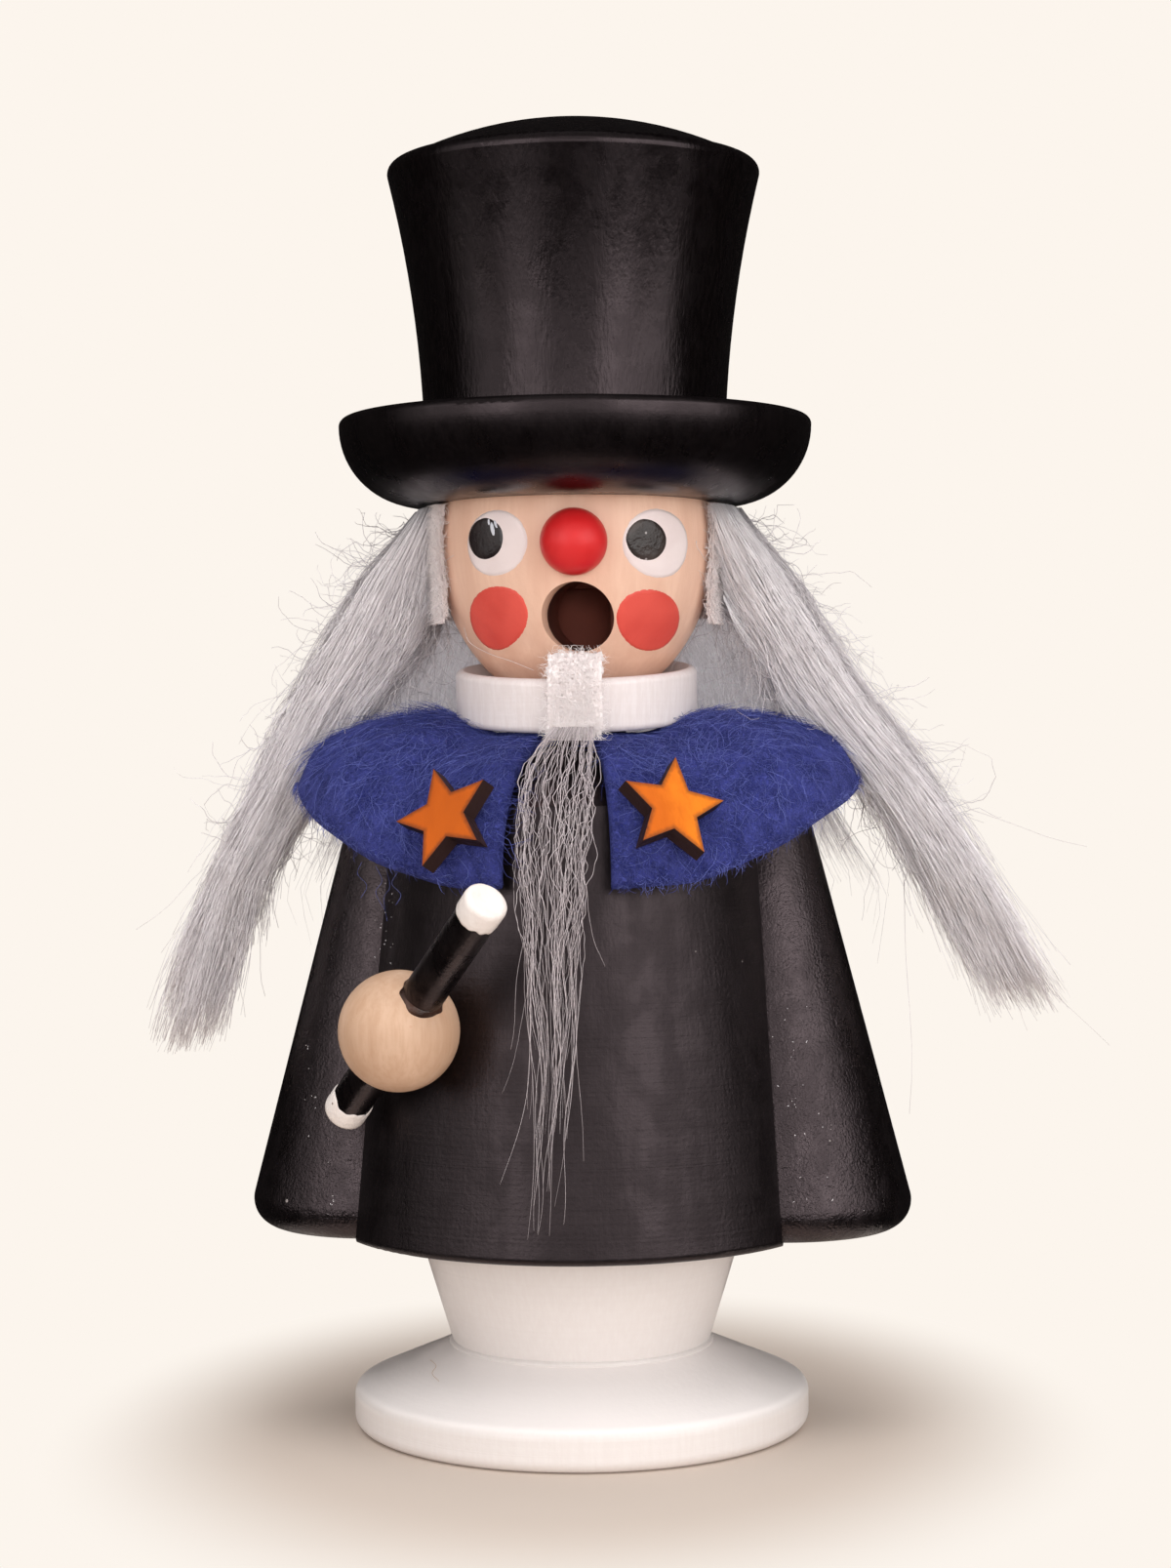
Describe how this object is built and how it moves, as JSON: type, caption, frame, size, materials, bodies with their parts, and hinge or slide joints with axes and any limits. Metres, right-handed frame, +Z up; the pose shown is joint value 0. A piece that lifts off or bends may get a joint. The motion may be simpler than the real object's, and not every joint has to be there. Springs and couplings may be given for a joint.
{
  "type": "german incense smoker",
  "caption": "Turned wooden incense smoker: a top-hatted conjurer with felt cape, fur hair and wand, hollow coat and smoke hole mouth, that lifts off its foot.",
  "frame": {"origin": "centre of the foot's underside, on the table", "axes": "+Z up along the turned axis, the face looks along -Y, +X is the viewer's right"},
  "size_m": [0.091, 0.0703, 0.1324],
  "materials": {
    "white_paint": "satin paint",
    "black_paint": "satin paint",
    "plain_wood": "plain, sealed",
    "dowel_wood": "plain",
    "red_lacquer": "satin paint",
    "star_stain": "stained, cut edges charred",
    "blue_felt": "fuzzy felt",
    "fur_hair": "long pile",
    "fur_backing": "woven backing",
    "tin": "pressed sheet",
    "tack_brass": "plain"
  },
  "bodies": {
    "base": {"foot_disc": "white_paint", "pedestal": "white_paint", "ember_plate": "tin", "plate_tack": "tack_brass"},
    "figure": {"coat_body": "black_paint", "left_sleeve": "black_paint", "right_sleeve": "black_paint", "left_sleeve_lower_dowel": "dowel_wood", "left_sleeve_upper_dowel": "dowel_wood", "right_sleeve_lower_dowel": "dowel_wood", "right_sleeve_upper_dowel": "dowel_wood", "hand_ball": "plain_wood", "hand_dowel": "dowel_wood", "wand": "black_paint", "felt_collar": "blue_felt", "left_star": "star_stain", "right_star": "star_stain", "collar_ring": "white_paint", "head": "plain_wood", "nose_ball": "red_lacquer", "hat_brim": "black_paint", "hat_crown": "black_paint", "hat_dowel": "dowel_wood", "wig_band": "fur_backing", "left_hair": "fur_hair", "right_hair": "fur_hair", "back_hair": "fur_hair", "beard_tab": "fur_backing", "beard_hair": "fur_hair"}
  },
  "joints": [
    {"name": "figure_lift", "type": "slide", "parent": "base", "child": "figure", "axis": [0, 0, 1], "range_m": [0, 0.045]}
  ]
}
